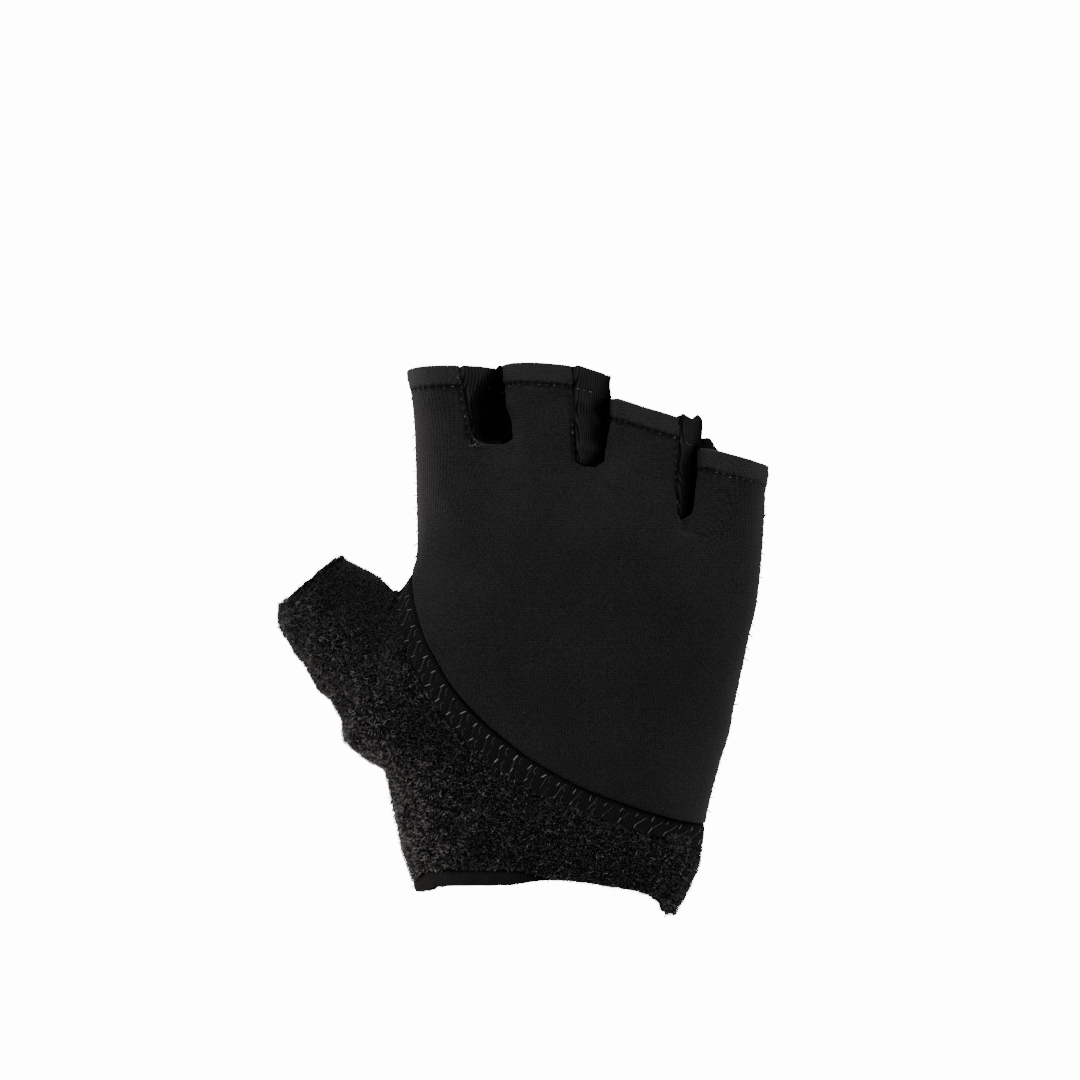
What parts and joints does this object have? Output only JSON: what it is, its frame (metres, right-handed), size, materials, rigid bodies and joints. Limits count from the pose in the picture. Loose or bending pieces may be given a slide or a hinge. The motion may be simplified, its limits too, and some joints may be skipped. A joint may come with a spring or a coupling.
{
  "type": "fingerless grip glove",
  "caption": "Fingerless right-hand grip glove: smooth stretch back and palm, pile thumb sleeve and cuff, and a closing strap across the inside of the wrist.",
  "frame": {"origin": "middle of the wrist opening, where the wrist leaves the glove", "axes": "+Z along the fingers, -Y out of the back of the hand, -X towards the thumb"},
  "size_m": [0.1116, 0.0425, 0.1242],
  "materials": {
    "smooth_knit": "matt black scuba knit with fine vertical wales",
    "ribbed_gusset": "black knit with fine ribs",
    "ribbed_band": "black ribbed tape under two rows of stitches",
    "loop_pile": "brushed black loop pile",
    "hook_tape": "black hook tape"
  },
  "bodies": {
    "root": {"back_panel": "smooth_knit", "palm_panel": "smooth_knit", "fourchette_index_middle": "ribbed_gusset", "fourchette_middle_ring": "ribbed_gusset", "fourchette_ring_little": "ribbed_gusset", "seam_band": "ribbed_band", "thumb_cuff_panel": "loop_pile", "wrist_binding": "smooth_knit", "wrist_strap": "loop_pile", "hook_tab": "hook_tape"}
  },
  "joints": []
}
